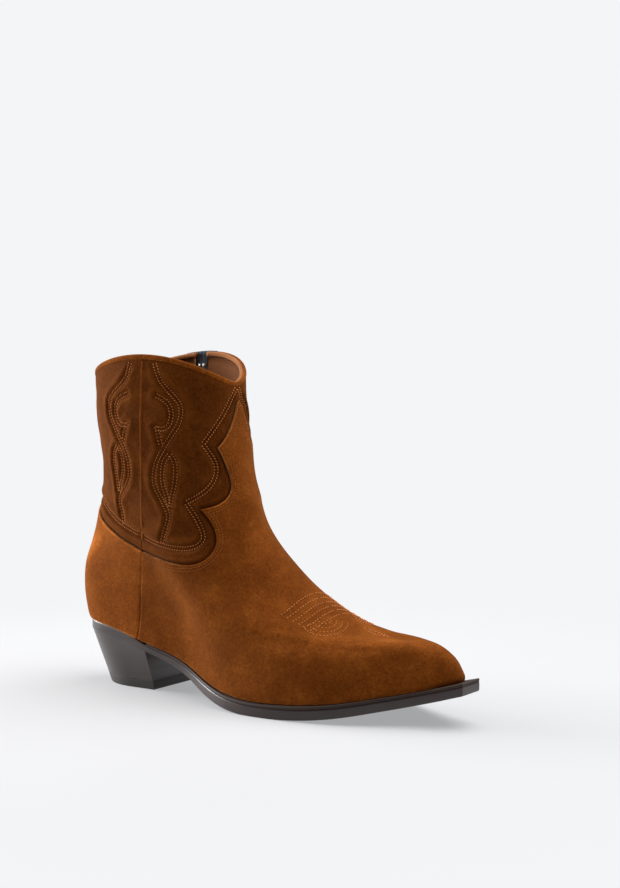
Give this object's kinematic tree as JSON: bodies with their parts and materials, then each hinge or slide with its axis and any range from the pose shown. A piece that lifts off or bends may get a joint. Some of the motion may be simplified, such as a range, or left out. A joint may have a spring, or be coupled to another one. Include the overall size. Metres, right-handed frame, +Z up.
{
  "type": "cowboy boot",
  "caption": "Pointed western ankle boot for the right foot: scalloped vamp, stitched shaft, peaked top edge, angled block heel and an inner side zip.",
  "frame": {"origin": "middle of the heel's ground face, on the floor", "axes": "+X towards the toe, +Y towards the inner side of the foot, +Z up"},
  "size_m": [0.2883, 0.0922, 0.2156],
  "materials": {
    "sole_leather": "dark brown, semi-gloss edge finish",
    "welt_leather": "dark brown, semi-gloss edge finish",
    "heel_stack": "dark brown, polished stacked heel",
    "lift_rubber": "matte dark rubber",
    "steel_strip": "plain steel strip",
    "cork": "ground cork filler",
    "board": "fibre board",
    "sock": "smooth lining leather",
    "suede": "tan suede with nap",
    "suede_shaft": "tan suede with nap, quilted",
    "suede_trim": "tan suede edge",
    "stiffener": "stiffened fabric",
    "lining": "brown lining suede",
    "tape": "dark slate woven tape",
    "zip_metal": "nickel finish"
  },
  "bodies": {
    "boot": {"outsole": "sole_leather", "welt": "welt_leather", "heel_block": "heel_stack", "top_lift": "lift_rubber", "shank": "steel_strip", "bottom_filler": "cork", "insole_board": "board", "sock_lining": "sock", "vamp": "suede", "counter_cover": "suede", "shaft_front": "suede_shaft", "shaft_back": "suede_shaft", "shaft_seam_piping": "suede_trim", "quarter_seam_piping": "suede_trim", "topline_binding": "suede_trim", "toe_puff": "stiffener", "heel_counter": "stiffener", "vamp_lining": "lining", "heel_lining": "lining", "shaft_lining_front": "lining", "shaft_lining_back": "lining", "heel_grip": "lining", "zip_tape_front": "tape", "zip_tape_back": "tape", "zip_teeth_front": "zip_metal", "zip_teeth_back": "zip_metal", "zip_bottom_stop": "zip_metal", "zip_top_stop_front": "zip_metal", "zip_top_stop_back": "zip_metal"},
    "slider": {"zip_slider": "zip_metal"},
    "puller": {"zip_pull": "zip_metal"}
  },
  "joints": [
    {"name": "zip_slide", "type": "slide", "parent": "boot", "child": "slider", "axis": [0, 0.0634, 0.998], "range_m": [-0.128, 0]},
    {"name": "pull_swing", "type": "hinge", "parent": "slider", "child": "puller", "pos_m": [0.0185, 0.03941, 0.19559], "axis": [1, 0, 0], "range_deg": [0, 150]}
  ]
}
